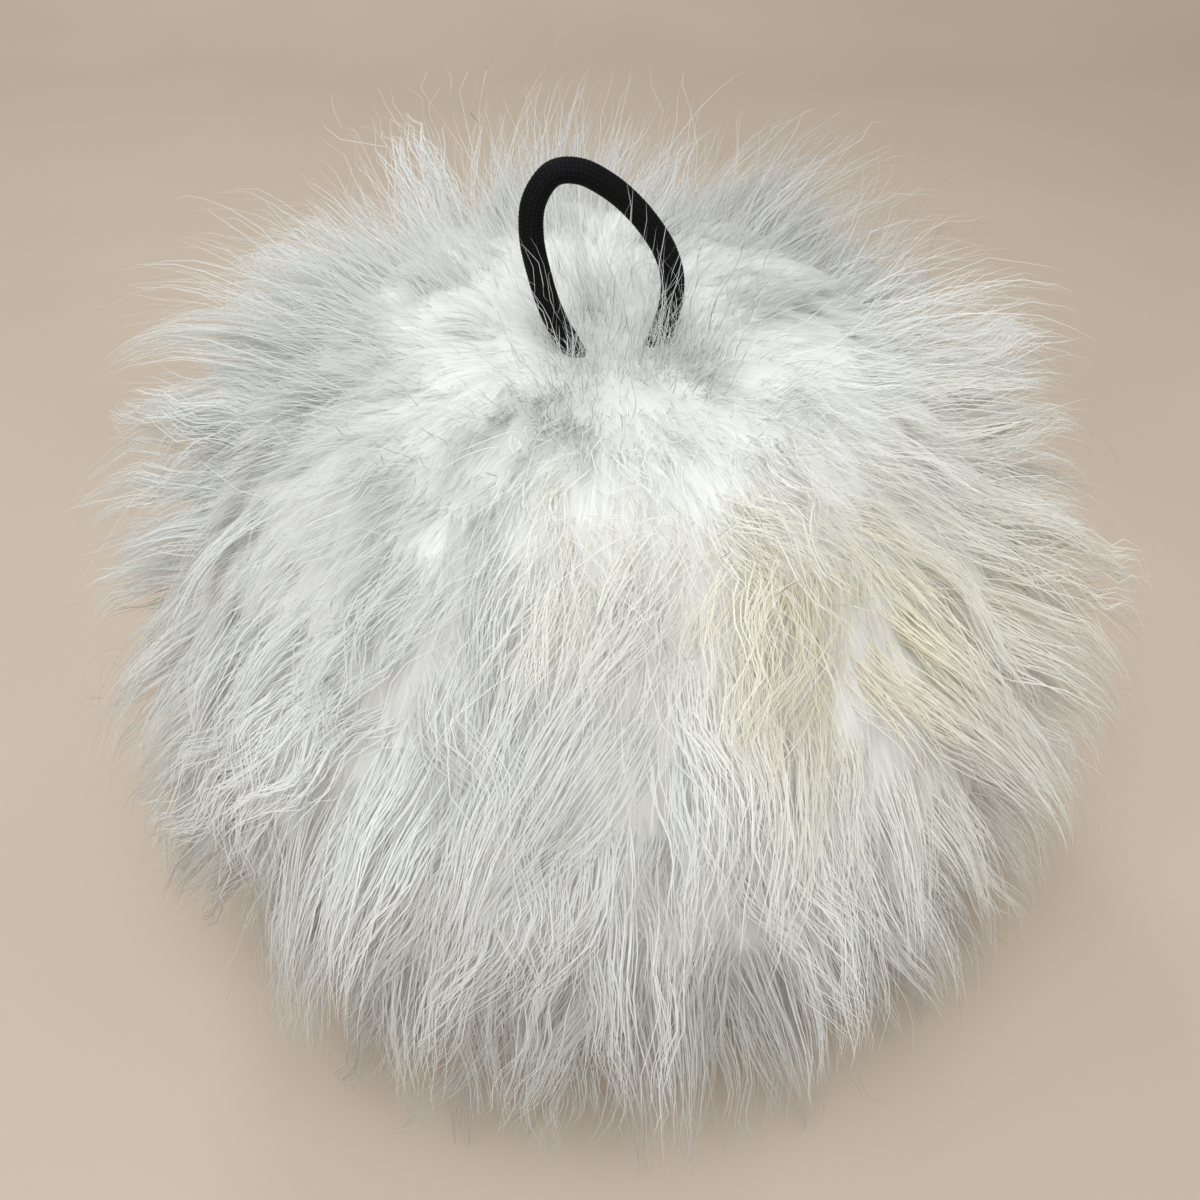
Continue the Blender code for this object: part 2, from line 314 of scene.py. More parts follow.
@dataclass(frozen=True)
class ElasticFinish:
    """The knitted black sleeve of the elastic."""

    name: str = "black_elastic"
    dark: Colour = (0.0018, 0.0018, 0.0024)
    light: Colour = (0.011, 0.011, 0.013)
    fibre_scale: float = 2600.0
    wales: float = 0.0
    courses: float = 0.0

    def make(self) -> bpy.types.Material:
        """Builds the material from the object's own coordinates.

        Returns:
            A rough black yarn mottled by fibre noise; where it is knitted, the stitches' crowns are
            paler and the hollows between them darker, painted light and shade.
        """
        bench = Bench(self.name)
        fibres = bench.noise(bench.own_place(), self.fibre_scale, 3.0)
        height = fibres * 0.5 + self.knit(bench)
        # Painted light and shade: the colour follows the stitches' height, paler on crowns and
        # darker in hollows; the fibre noise is the yarn's own mottle.
        colour = bench.ramp(height, [(0.25, self.dark), (0.95, self.light)])
        inputs = {
            "Base Color": colour,
            "Roughness": 0.75,
            "Specular IOR Level": 0.12,
            "Normal": bench.bump(height, 0.00012, 0.8),
        }
        return bench.matt(inputs)

    def knit(self, bench: Bench) -> Value:
        """The stitches' height: a wave round the sleeve times a wave along it, or none."""
        if not self.wales:
            return 0.2
        round_it, along = bench.apart(bench.own_map())
        wale = (round_it * (2.0 * math.pi * self.wales)).wave()
        course = (along * (2.0 * math.pi * self.courses) + wale * 0.9).wave()
        return (1.0 + wale) * (1.0 + course) * 0.13


# Painted shade: the wool is greyer than the hair, for the shade deep under the pile.
WOOL_IN_PAINTED_SHADE = MottledFinish(
    "underfur", (0.64, 0.635, 0.61), (0.75, 0.755, 0.735), (640.0, 30.0, 1.0),
    stops=(0.32, 0.62), roughness=0.9, gloss=0.2, mapped=True,
)
FIBRE = MottledFinish(
    "stuffing_fibre", (0.74, 0.74, 0.73), (0.90, 0.90, 0.89), (700.0, 700.0, 2100.0),
    detail=5.0, relief=0.0004,
)
THREAD = MottledFinish(
    "waxed_thread", (0.55, 0.52, 0.45), (0.74, 0.71, 0.64), (2400.0, 2400.0, 7200.0),
    detail=5.0, relief=0.0004,
)
PAPER = MottledFinish(
    "floor_paper", (0.5044, 0.4268, 0.34435), (0.5304, 0.4488, 0.3621), (9.0, 9.0, 9.0),
    roughness=0.7,
)


@dataclass(frozen=True)
class Surface:
    """What a mesh is made of: its corners, triangles, map and the normals it is shaded with."""

    corners: Array
    triangles: Array
    places: Array
    normals: Array | None = None

    def build(self, name: str, finish: bpy.types.Material) -> bpy.types.Object:
        """Puts the arrays into a mesh object at the origin.

        Args:
            name: the piece's name.
            finish: its material.

        Returns:
            The object, smooth shaded, with its map named OFBake.
        """
        mesh = bpy.data.meshes.new(name)
        mesh.vertices.add(len(self.corners))
        mesh.vertices.foreach_set("co", self.corners.astype(np.float32).ravel())
        mesh.loops.add(self.triangles.size)
        mesh.loops.foreach_set("vertex_index", self.triangles.astype(np.int32).ravel())
        mesh.polygons.add(len(self.triangles))
        starts = np.arange(0, self.triangles.size, 3, dtype=np.int32)
        mesh.polygons.foreach_set("loop_start", starts)
        mesh.update(calc_edges=True)
        mesh.polygons.foreach_set("use_smooth", np.ones(len(self.triangles), dtype=bool))
        layer = mesh.uv_layers.new(name="OFBake")
        places = self.places[self.triangles.ravel()].astype(np.float32)
        layer.uv.foreach_set("vector", places.ravel())
        if self.normals is not None:
            mesh.normals_split_custom_set_from_vertices(self.normals.astype(np.float32))
        mesh.materials.append(finish)
        made = bpy.data.objects.new(name, mesh)
        bpy.context.scene.collection.objects.link(made)
        return made


@dataclass
class Ball:
    """The form that the pile grows on: where it is centred, how it parts and which way it lies."""

    centre_z: float = 0.052
    reach: float = 0.0605
    mouth_tilt: float = math.radians(15.0)
    mouth_swing: float = math.radians(3.0)
    parting_depth: float = 0.0088
    parting_angle: float = math.radians(23.0)
    skirt_spread: float = 0.26
    lock_count: int = 340
    lock_jitter: float = 0.16
    lock_seed: int = 11

    @property
    def centre(self) -> Array:
        """The ball's middle."""
        return np.array([0.0, 0.0, self.centre_z])

    @property
    def turn(self) -> Matrix:
        """The turn that takes straight up to the way that the mouth faces."""
        swing = Matrix.Rotation(self.mouth_swing, 4, "Y")
        return swing @ Matrix.Rotation(self.mouth_tilt, 4, "X")

    @property
    def mouth_axis(self) -> Array:
        """The way that the mouth faces."""
        return np.array(self.turn @ Vector((0.0, 0.0, 1.0)))

    def mouth_angle(self, directions: Array) -> Array:
        """The angle of each direction from the mouth's."""
        return np.arccos(np.clip(directions @ self.mouth_axis, -1.0, 1.0))

    def parting(self, directions: Array) -> Array:
        """How far the pile lies under its reach there: a bell curve round the mouth."""
        share = self.mouth_angle(directions) / self.parting_angle
        return self.parting_depth * np.exp(-(share**2))

    def comb(self, directions: Array) -> Array:
        """The way that the pile lies there.

        Args:
            directions: unit vectors from the ball's middle.

        Returns:
            Away from the mouth above, and down and a little out below, blended over the girth.
        """
        facing = (directions @ self.mouth_axis)[..., None]
        combed = unit(directions * facing - self.mouth_axis)
        outward = unit(directions * np.array([1.0, 1.0, 0.0]))
        hanging = unit(outward * self.skirt_spread - UP)
        share = np.clip(0.5 - directions[..., 2:], 0.0, 1.0)
        return unit(combed * (1.0 - share) + hanging * share)

    def lock_directions(self) -> Array:
        """Where the locks stand."""
        return spiral(self.lock_count, self.lock_jitter, self.lock_seed)


class Zone(Enum):
    """Where a family of hairs has its roots."""

    ALL_ROUND = "all_round"
    MOUTH = "mouth"
    LEGS = "legs"


class Panel(Enum):
    """The pieces that the pile is made in, by the way that they face."""

    CROWN_FRONT = "crown_front"
    CROWN_BACK = "crown_back"
    FRONT = "front"
    RIGHT = "right"
    BACK = "back"
    LEFT = "left"


@dataclass(frozen=True)
class Hairs:
    """How one family of hairs grows.

    Reach and shortest are shares of the wisp that a hair follows: its longest and its shortest
    run along it. Gather is how much of a root's offset from its wisp is lost by the tip. Loose and
    stand are how far a tip strays and how far it stands up, as shares of its length. Turned is the
    spread of its turn about its way, rounded is how far its normals lean apart, even is how far
    they follow the ball, and point is how soon it narrows. No hair is longer than longest.
    """

    count: int
    segments: int
    width: float
    reach: float
    shortest: float
    gather: float
    loose: float
    stand: float
    frizz: float
    frizz_length: float
    zone: Zone = Zone.ALL_ROUND
    in_locks: bool = True
    width_spread: float = 0.2
    root_drop: float = 0.0
    turned: float = 0.35
    rounded: float = 0.5
    even: float = 0.35
    point: float = 0.5
    thinning: float = 1.0
    longest: float = 0.040
    seed: int = 1


@dataclass(frozen=True)
class Guides:
    """Paths that hairs follow: even steps from a root, each over a length of its own."""

    directions: Array
    paths: Array
    lengths: Array
    tones: Array
    leans: Array
    grown: float = 2.2

    def at(self, which: Array, distance: Array) -> Array:
        """Points on the chosen guides at these distances from their roots.

        Args:
            which: the guide of each hair.
            distance: the distances, a row for each hair.

        Returns:
            The points, found on the straight runs between a guide's own points.
        """
        steps = self.paths.shape[1] - 1
        full = self.lengths[which][:, None] * self.grown
        place = np.clip(distance / full * steps, 0.0, steps)
        low = np.minimum(place.astype(int), steps - 1)
        part = (place - low)[..., None]
        row = which[:, None]
        return self.paths[row, low] * (1.0 - part) + self.paths[row, low + 1] * part


@dataclass
class Coat:
    """The wisps that the hair follows, which lean together into locks and wave with them.

    Rises and swirls are angles, from upright and about it, and wisps and locks vary by their
    spreads. Proud locks are longer and stand up more, curly places wave more, and spikes are
    wisps that pass the others. A crest is the middle of a lock, where the pile is thickest.
    """

    ball: Ball
    wisp_count: int = 2600
    wisp_jitter: float = 0.30
    wisp_seed: int = 23
    steps: int = 44
    length: float = 0.0255
    root_depth: float = 0.0040
    rise: tuple[float, float] = (0.72, 1.30)
    flat_skirt: float = 0.30
    short_skirt: float = 0.56
    proud: float = 0.05
    proud_gain: float = 1.22
    proud_rise: float = -0.26
    proud_ways: tuple[tuple[float, float, float], ...] = (
        (-0.51, 0.27, 0.82),
        (-0.33, 0.32, 0.89),
        (-0.85, 0.00, 0.45),
        (-0.93, -0.10, 0.33),
        (-0.75, 0.11, 0.61),
        (0.25, 0.34, 0.91),
        (0.74, 0.15, 0.66),
        (0.83, 0.07, 0.55),
        (0.93, -0.07, 0.37),
        (0.93, -0.37, -0.03),
        (0.77, -0.58, -0.25),
        (0.13, -0.87, -0.45),
        (-0.30, -0.85, -0.40),
    )
    curly_ways: tuple[tuple[float, float, float], ...] = (
        (-0.38, -0.78, 0.50),
        (-0.54, -0.72, 0.44),
        (0.39, -0.77, 0.51),
        (-0.13, -0.89, 0.44),
    )
    curly_spread: float = 0.22
    curly_gain: float = 0.25
    mouth_share: float = 0.42
    mouth_angles: tuple[float, float] = (math.radians(8.0), math.radians(50.0))
    lean_limits: tuple[float, float] = (0.1, 1.62)
    lock_rise_spread: float = 0.12
    lock_swirl_spread: float = 0.26
    lock_lengths: tuple[float, float] = (0.86, 1.12)
    lock_waves: float = 1.3
    wisp_lengths: tuple[float, float] = (0.62, 1.12)
    wisp_rise_spread: float = 0.12
    wisp_swirl_spread: float = 0.16
    spike_rise: float = -0.30
    spike_gain: float = 0.30
    low_spike_gain: float = 0.70
    low_loss: float = 0.22
    phase_spread: float = 0.5
    lock_gather: float = 0.80
    kept_apart: float = 0.2
    crest_height: float = 0.0022
    crest_width: float = 0.085
    crest_rise: float = 0.30
    roundness: float = 0.27
    spikes: float = 0.15
    wave: float = 0.0011
    wave_length: float = 0.0120

    def lengths(self, directions: Array) -> Array:
        """How long the pile is there, as a share: short at the mouth, shorter again low down."""
        angle = self.ball.mouth_angle(directions)
        opened = smooth_step(angle, *self.mouth_angles)
        opening = self.mouth_share + (1.0 - self.mouth_share) * opened
        return opening * (1.0 - self.short_skirt * smooth_step(-directions[..., 2], 0.0, 0.55))

    def drift(self, directions: Array) -> Array:
        """A slow wandering of the comb over the ball, as an angle: three crossed sine waves."""
        waves = np.array([[3.1, 1.7, -2.3], [-4.2, 3.3, 1.9], [2.2, -5.1, 4.4]])
        starts = np.array([0.4, 2.1, 4.0])
        sizes = np.array([0.16, 0.13, 0.10])
        return np.sin(directions @ waves.T + starts) @ sizes

    def walk(self, roots: Array, length: Array, rise: Array, swirl: Array, lift: Array) -> Array:
        """Paths that leave the ball and bend over towards the comb.

        Each step turns from upright by an angle that grows along the path, and by more low on the
        ball, where the pile lies flat.

        Args:
            roots: unit vectors to the roots.
            length: each path's length.
            rise: each path's added angle from upright.
            swirl: each path's turn of the comb about upright.
            lift: how far each root stands above the pelt's even ground.

        Returns:
            Points of shape (paths, steps + 1, 3).
        """
        depth = self.root_depth + self.ball.parting(roots) - lift
        point = self.ball.centre + roots * (self.ball.reach - depth)[:, None]
        path = [point]
        low = self.flat_skirt * smooth_step(-roots[:, 2], -0.1, 0.5)
        for step in range(self.steps):
            out = unit(point - self.ball.centre)
            comb = self.ball.comb(out)
            side = np.cross(out, comb)
            comb = comb * np.cos(swirl)[:, None] + side * np.sin(swirl)[:, None]
            share = min(1.0, Guides.grown * (step + 0.5) / self.steps)
            angle = self.rise[0] + (self.rise[1] - self.rise[0]) * share + rise + low
            angle = np.clip(angle, *self.lean_limits)
            way = out * np.cos(angle)[:, None] + comb * np.sin(angle)[:, None]
            point = point + way * (length / self.steps)[:, None]
            path.append(point)
        return np.stack(path, 1)

    def grow(self) -> Guides:
        """Grows the wisps.

        A wisp's path is its own walk, drawn part of the way to its lock's walk, and then waved.

        Returns:
            The wisps, grown past their length for the hairs that pass their tips.
        """
        chance = np.random.default_rng(self.ball.lock_seed + 7)
        locks = self.ball.lock_directions()
        count = len(locks)
        lock_rise = chance.normal(0.0, self.lock_rise_spread, count)
        lock_swirl = chance.normal(0.0, self.lock_swirl_spread, count) + self.drift(locks)
        lock_length = chance.uniform(*self.lock_lengths, count)
        lock_wave = self.lock_waves * chance.random(count) ** 2.0
        lock_phase = chance.uniform(0.0, 2.0 * math.pi, count)
        proud = chance.random(count) < self.proud
        proud[np.argmax(locks @ unit(np.array(self.proud_ways)).T, 0)] = True
        lock_length = np.where(proud, lock_length * self.proud_gain, lock_length)
        lock_rise = np.where(proud, lock_rise + self.proud_rise, lock_rise)
        curly = np.arccos((locks @ unit(np.array(self.curly_ways)).T).max(1))
        lock_wave = lock_wave + self.curly_gain * np.exp(-((curly / self.curly_spread) ** 2))
        own = np.random.default_rng(self.wisp_seed)
        roots = spiral(self.wisp_count, self.wisp_jitter, self.wisp_seed)
        near = np.argmax(roots @ locks.T, 1)
        length = self.length * self.lengths(roots) * lock_length[near]
        length = length * own.uniform(*self.wisp_lengths, self.wisp_count)
        spike = own.random(self.wisp_count) < self.spikes
        low = smooth_step(-roots[:, 2], 0.05, 0.6)
        gain = np.where(spike, self.spike_gain + self.low_spike_gain * low, -self.low_loss * low)
        length = length * (1.0 + gain)
        away = np.arccos(np.clip(np.sum(roots * locks[near], 1), -1.0, 1.0))
        crest = np.exp(-((away / self.crest_width) ** 2))
        lift = self.crest_height * (crest - 0.5)
        rise = lock_rise[near] + own.normal(0.0, self.wisp_rise_spread, self.wisp_count)
        rise = rise + self.spike_rise * spike - self.crest_rise * (crest - 0.5)
        swirl = lock_swirl[near] + own.normal(0.0, self.wisp_swirl_spread, self.wisp_count)
        # Painted shade: a wisp's tone falls away from its lock's crest, so the valleys between
        # locks are greyer; a small part is random.
        tones = 0.12 * own.random(self.wisp_count) + 0.88 * crest
        leans = self.roundness * (roots - locks[near]) / self.crest_width
        path = self.walk(roots, length * Guides.grown, rise, swirl, lift)
        lead_length = lock_length * self.length * Guides.grown
        lead = self.walk(locks, lead_length, lock_rise, lock_swirl, np.zeros(count))[near]
        share = np.linspace(0.0, 1.0, self.steps + 1)[None, :, None]
        along = np.minimum(share * Guides.grown, 1.0)
        offset = (path[:, :1] - lead[:, :1]) * (1.0 - (1.0 - self.kept_apart) * along)
        drawn = self.lock_gather * smooth_step(along, 0.0, 1.0)
        drawn = drawn * self.lengths(roots)[:, None, None] ** 2
        path = path + (lead + offset - path) * drawn
        run = share[..., 0] * (length * Guides.grown)[:, None]
        start = np.einsum("ij,ij->i", roots - locks[near], self.ball.comb(locks)[near])
        phase = 2.0 * math.pi * (run + start[:, None] * self.ball.reach) / self.wave_length
        phase = phase + lock_phase[near][:, None]
        phase = phase + own.normal(0.0, self.phase_spread, (self.wisp_count, 1))
        path = self.waved(path, run, phase, lock_wave[near])
        return Guides(roots, path, length, tones, leans)

    def waved(self, path: Array, run: Array, phase: Array, gain: Array) -> Array:
        """The paths with a sine across each and one half as high up it, fainter low on the ball.

        Args:
            path: the paths, a row each.
            run: the distance along each path.
            phase: the sine's angle there.
            gain: how much each path waves.

        Returns:
            The path, plus the sine's share of the wave's size sideways, and half of it upwards.
        """
        way = unit(np.gradient(path, axis=1))
        out = unit(path - self.ball.centre)
        side = unit(np.cross(way, out))
        lift = np.cross(side, way)
        low = 1.0 - 0.55 * smooth_step(-out[:, 0, 2], 0.0, 0.6)
        size = self.wave * (gain * low)[:, None] * smooth_step(run, 0.002, 0.012)
        path = path + side * (size * np.sin(phase))[..., None]
        return path + lift * (0.5 * size * np.cos(phase))[..., None]


@dataclass
class Pile:
    """The pelt's hair as flat tapered strands, which follow the coat's wisps.

    A staining place is a direction, its spread as an angle and how strong it is. The last,
    broad one is painted tan shade over the right side.
    """

    ball: Ball
    guides: Guides
    ground: Guides
    leg_side: float = 0.0043
    leg_front: float = -0.0022
    leg_scatter: float = 0.0032
    leg_reach: float = 0.050
    leg_hair: float = 0.010
    mouth_spread: float = math.radians(40.0)
    mouth_crowding: float = 1.25
    wisp_scatter: float = 0.42
    thin_below: float = -0.55
    thin_share: float = 0.35
    bare_below: float = -0.85
    step_growth: float = 0.82
    gather_growth: float = 1.2
    frizz_lengths: tuple[float, float] = (0.7, 1.4)
    frizz_sizes: tuple[float, float] = (0.2, 1.3)
    face_share: float = 0.1
    map_width: float = 20.0
    floor_clearance: float = 0.0012
    free_reach: float = 0.070
    full_reach: float = 0.086
    crown_angle: float = math.radians(50.0)
    quarters: tuple[float, float, float, float] = (-142.0, -38.0, 52.0, 128.0)
    mottle: float = 0.10
    # Painted shade: the crest share greys the hair between locks, and the mouth and low shares
    # darken it round the mouth and low down.
    full_tone: float = 0.62
    tone_shares: tuple[float, float, float] = (0.64, 0.33, 0.03)
    mouth_shade: float = 0.30
    low_shade: float = 0.10
    stain_and_shade_tones: tuple[float, float] = (0.68, 0.98)
    most_tone: float = 0.64
    least_stain_and_shade: float = 0.06
    stains_and_shade: tuple[tuple[float, float, float, float, float], ...] = (
        (-0.014, -0.646, 0.763, 0.11, 0.60),
        (0.350, -0.669, 0.656, 0.20, 0.80),
        (0.444, -0.716, 0.539, 0.15, 1.00),
        (-0.013, -0.773, 0.635, 0.05, 1.00),
        # Painted shade: this broad one warms and darkens the whole right side.
        (0.819, -0.390, 0.421, 0.50, 0.55),
    )

    def roots_of(self, hairs: Hairs, chance: np.random.Generator) -> tuple[Array, Array]:
        """Where the hairs of a family have their roots, and the wisp that each one follows.

        Args:
            hairs: the family.
            chance: its random numbers.

        Returns:
            Unit vectors, and the numbers of the wisps.
        """
        wisps = self.wisps_of(hairs).directions
        if hairs.zone is Zone.ALL_ROUND:
            share = np.where(wisps[:, 2] > self.thin_below, 1.0, self.thin_share)
            share = share * (wisps[:, 2] > self.bare_below)
            which = chance.choice(len(wisps), hairs.count, p=share / share.sum())
            scatter = self.wisp_scatter * math.sqrt(4.0 * math.pi / len(wisps))
            return unit(wisps[which] + chance.normal(0.0, scatter, (hairs.count, 3))), which
        turn = np.array(self.ball.turn.to_3x3())
        if hairs.zone is Zone.LEGS:
            side = self.leg_side * np.where(chance.random(hairs.count) < 0.4, -1.0, 1.4)
            front = np.full(hairs.count, self.leg_front)
            place = np.stack([side, front, np.full(hairs.count, self.leg_reach)], 1)
            place = place + chance.normal(0.0, self.leg_scatter, place.shape)
            roots = unit(place @ turn.T)
        else:
            deepest = 1.0 - math.cos(self.mouth_spread)
            height = 1.0 - chance.random(hairs.count) ** self.mouth_crowding * deepest
            angle = chance.random(hairs.count) * 2.0 * math.pi
            ring = np.sqrt(1.0 - height**2)
            roots = np.stack([ring * np.cos(angle), ring * np.sin(angle), height], 1) @ turn.T
        near = np.argmax(roots.astype(np.float32) @ wisps.T.astype(np.float32), 1)
        return roots, near

    def wisps_of(self, hairs: Hairs) -> Guides:
        """The wisps that a family follows: those of the locks, or the even ones of the ground."""
        return self.guides if hairs.in_locks else self.ground

    def paths(self, hairs: Hairs) -> tuple[Array, Array, Array]:
        """The paths of a family's hairs.

        A hair runs along its wisp at its root's offset, which shrinks towards the tip. It strays
        in step with its run, and curls round its way in a helix of its own.

        Args:
            hairs: the family.

        Returns:
            The paths, the roots' directions, and the wisp of each hair.
        """
        chance = np.random.default_rng(hairs.seed)
        guides = self.wisps_of(hairs)
        roots, which = self.roots_of(hairs, chance)
        count = len(roots)
        least = hairs.shortest
        reach = hairs.reach * (least + (1.0 - least) * chance.random(count) ** hairs.thinning)
        length = np.minimum(guides.lengths[which] * reach, hairs.longest)
        share = (np.arange(hairs.segments + 1) / hairs.segments) ** self.step_growth
        run = share[None, :] * length[:, None]
        depth = self.ball.parting(roots) - self.ball.parting(guides.directions[which])
        radius = np.linalg.norm(guides.paths[which, 0] - self.ball.centre, axis=1)
        start = self.ball.centre + roots * (radius - depth - hairs.root_drop)[:, None]
        offset = start - guides.paths[which, 0]
        kept = 1.0 - hairs.gather * share[None, :] ** self.gather_growth
        path = guides.at(which, run) + offset[:, None] * kept[..., None]
        if hairs.zone is Zone.LEGS:
            length = hairs.reach * self.leg_hair * chance.uniform(hairs.shortest, 1.0, count)
            run = share[None, :] * length[:, None]
            path = self.upright(start, roots, run, chance)
        way = unit(np.gradient(path, axis=1))
        out = unit(path - self.ball.centre)
        side = unit(np.cross(way, out))
        lift = np.cross(side, way)
        stray = chance.normal(0.0, hairs.loose, (2, count, 1)) * run
        pitch = hairs.frizz_length * chance.uniform(*self.frizz_lengths, (count, 1))
        turn = 2.0 * math.pi * run / pitch + chance.uniform(0.0, 2.0 * math.pi, (count, 1))
        curl = hairs.frizz * chance.uniform(*self.frizz_sizes, (count, 1)) * share[None, :] ** 0.7
        path = path + side * (stray[0] + curl * np.sin(turn))[..., None]
        path = path + lift * (np.abs(stray[1]) * 0.6 + curl * np.cos(turn))[..., None]
        path = path + out * (hairs.stand * run * share[None, :])[..., None]
        return self.above_floor(self.within_reach(path)), roots, which

    @staticmethod
    def upright(start: Array, roots: Array, run: Array, chance: np.random.Generator) -> Array:
        """Paths that stand up round the elastic: a straight rise that bends over at the end.

        Args:
            start: where each hair leaves the pelt.
            roots: unit vectors to the roots.
            run: the distances along each hair.
            chance: the random numbers.

        Returns:
            The paths. Each is its start, plus its run along a way near upright, plus the square
            of its run along a way of its own.
        """
        rising = unit(roots + chance.normal(0.0, 0.22, roots.shape))[:, None]
        bending = chance.normal(0.0, 14.0, roots.shape)[:, None]
        return start[:, None] + rising * run[..., None] + bending * (run**2)[..., None]

    def within_reach(self, path: Array) -> Array:
        """Draws in the longest tips: past free_reach, a distance nears full_reach and no more."""
        offset = path - self.ball.centre
        distance = np.linalg.norm(offset, axis=-1, keepdims=True)
        room = self.full_reach - self.free_reach
        beyond = np.maximum(distance - self.free_reach, 0.0)
        drawn = self.free_reach + room * (1.0 - np.exp(-beyond / room))
        return self.ball.centre + offset * np.where(beyond > 0.0, drawn / distance, 1.0)

    def above_floor(self, path: Array) -> Array:
        """Presses what would pass the floor flat on it, and spreads it outwards."""
        height = path[..., 2]
        least = self.floor_clearance
        pressed = least * np.exp(np.minimum(height - least, 0.0) / least)
        lowered = np.where(height < least, pressed, height)
        spread = np.clip(lowered - height, 0.0, 0.02)[..., None]
        out = unit(path * np.array([1.0, 1.0, 0.0]))
        settled = path + out * spread * 0.5
        settled[..., 2] = np.maximum(lowered, 0.0002)
        return settled

    def stain_and_shade_at(self, directions: Array) -> Array:
        """Staining, and painted tan shade on the right side, from 0 to 1: bell curves round them.
        """
        amount = np.zeros(len(directions))
        for x, y, z, spread, most in self.stains_and_shade:
            place = unit(np.array([x, y, z]))
            angle = np.arccos(np.clip(directions @ place, -1.0, 1.0))
            amount += most * np.exp(-((angle / spread) ** 2))
        return np.clip(amount, 0.0, 1.0)

    def tones(self, roots: Array, crests: Array, chance: np.random.Generator) -> Array:
        """How light each hair is, or how stained.

        Args:
            roots: unit vectors to the roots.
            crests: how near each hair's wisp is to the crest of its lock, from 0 to 1.
            chance: the random numbers.

        Returns:
            The share that picks the hair's colour in its finish: an even part, a part from the
            crest, which paints shade in the valleys between locks, and one by chance, with painted
            shade round the mouth and low down, plus the patches. Hairs in the staining places and
            in the painted tan shade on the right side have one between the two staining tones.
        """
        even, crested, random = self.tone_shares
        tone = self.full_tone * (even + crested * crests + random * chance.random(len(roots)))
        opened = smooth_step(self.ball.mouth_angle(roots), 0.30, 0.95)
        # Painted shade: darker round the mouth and low down.
        tone = tone * (self.mouth_shade + (1.0 - self.mouth_shade) * opened)
        tone = tone * (1.0 - (1.0 - self.low_shade) * smooth_step(-roots[:, 2], -0.3, 0.40))
        tone = np.clip(tone + self.mottle * self.patches(roots), 0.0, self.most_tone)
        # Staining, and the painted tan shade on the right side.
        stain_and_shade_amount = self.stain_and_shade_at(roots) * chance.uniform(0.5, 1.0, len(roots))
        first, last = self.stain_and_shade_tones
        return np.where(stain_and_shade_amount > self.least_stain_and_shade, first + (last - first) * stain_and_shade_amount, tone)

    @staticmethod
    def patches(directions: Array) -> Array:
        """A cloudy pattern over the ball, from -1 to 1: three crossed sine waves."""
        waves = np.array([[21.0, -13.0, 9.0], [-11.0, 17.0, 16.0], [8.0, 19.0, -22.0]])
        starts = np.array([0.9, 3.3, 5.1])
        return np.sin(directions @ waves.T + starts).mean(1)

    def strands(self, hairs: Hairs) -> tuple[Array, Array, Array, Array, Array]:
        """Flat strands along the family's paths, narrowing to a point.

        At each point of a path but the last, a strand has two corners, half a width to each side.
        It is turned about its way by chance. Its normals point up from the ball, square to its
        way, and lean apart over its width, so that it is shaded as a round hair in a smooth coat.

        Args:
            hairs: the family.

        Returns:
            Corners, one hair's triangles, map, normals and roots, one block to each hair.
        """
        path, roots, which = self.paths(hairs)
        chance = np.random.default_rng(hairs.seed + 50)
        count, points = path.shape[:2]
        way = unit(np.gradient(path, axis=1))
        out = unit(path - self.ball.centre)
        turned = chance.normal(0.0, hairs.turned, count)[:, None, None]
        side = unit(np.cross(way, out))
        up = np.cross(side, way)
        across = side * np.cos(turned) + up * np.sin(turned)
        face = np.cross(across, way)
        face = face * np.where(np.sum(face * out, -1, keepdims=True) < 0.0, -1.0, 1.0)
        across = np.cross(way, face)
        share = np.linspace(0.0, 1.0, points)
        taper = np.clip(1.0 - share**2.0, 0.0, 1.0) ** hairs.point
        width = hairs.width * np.exp(chance.normal(0.0, hairs.width_spread, count))
        half = 0.5 * width[:, None] * taper[None, :]
        mass = up * (1.0 - hairs.even) + out * hairs.even + face * self.face_share
        mass = mass + self.wisps_of(hairs).leans[which][:, None]
        tone = self.tones(roots, self.wisps_of(hairs).tones[which], chance)
        corner = np.empty((count, 2 * points - 1, 3))
        normal = np.empty_like(corner)
        place = np.empty((count, 2 * points - 1, 2))
        corner[:, 0:-1:2] = (path - across * half[..., None])[:, :-1]
        corner[:, 1:-1:2] = (path + across * half[..., None])[:, :-1]
        corner[:, -1] = path[:, -1]
        normal[:, 0:-1:2] = unit(mass - across * hairs.rounded)[:, :-1]
        normal[:, 1:-1:2] = unit(mass + across * hairs.rounded)[:, :-1]
        normal[:, -1] = unit(mass[:, -1])
        thick = self.map_width * width
        place[:, 0:-1:2, 0] = tone[:, None]
        place[:, 1:-1:2, 0] = (tone + thick)[:, None]
        place[:, -1, 0] = tone + thick / 2
        place[:, 0:-1:2, 1] = share[:-1]
        place[:, 1:-1:2, 1] = share[:-1]
        place[:, -1, 1] = 1.0
        row = np.arange(points - 2)[:, None] * 2
        quads = np.concatenate([row + [0, 1, 2], row + [1, 3, 2]])
        last = 2 * (points - 2)
        pattern = np.concatenate([quads, [[last, last + 1, last + 2]]])
        return corner, pattern, place, normal, roots

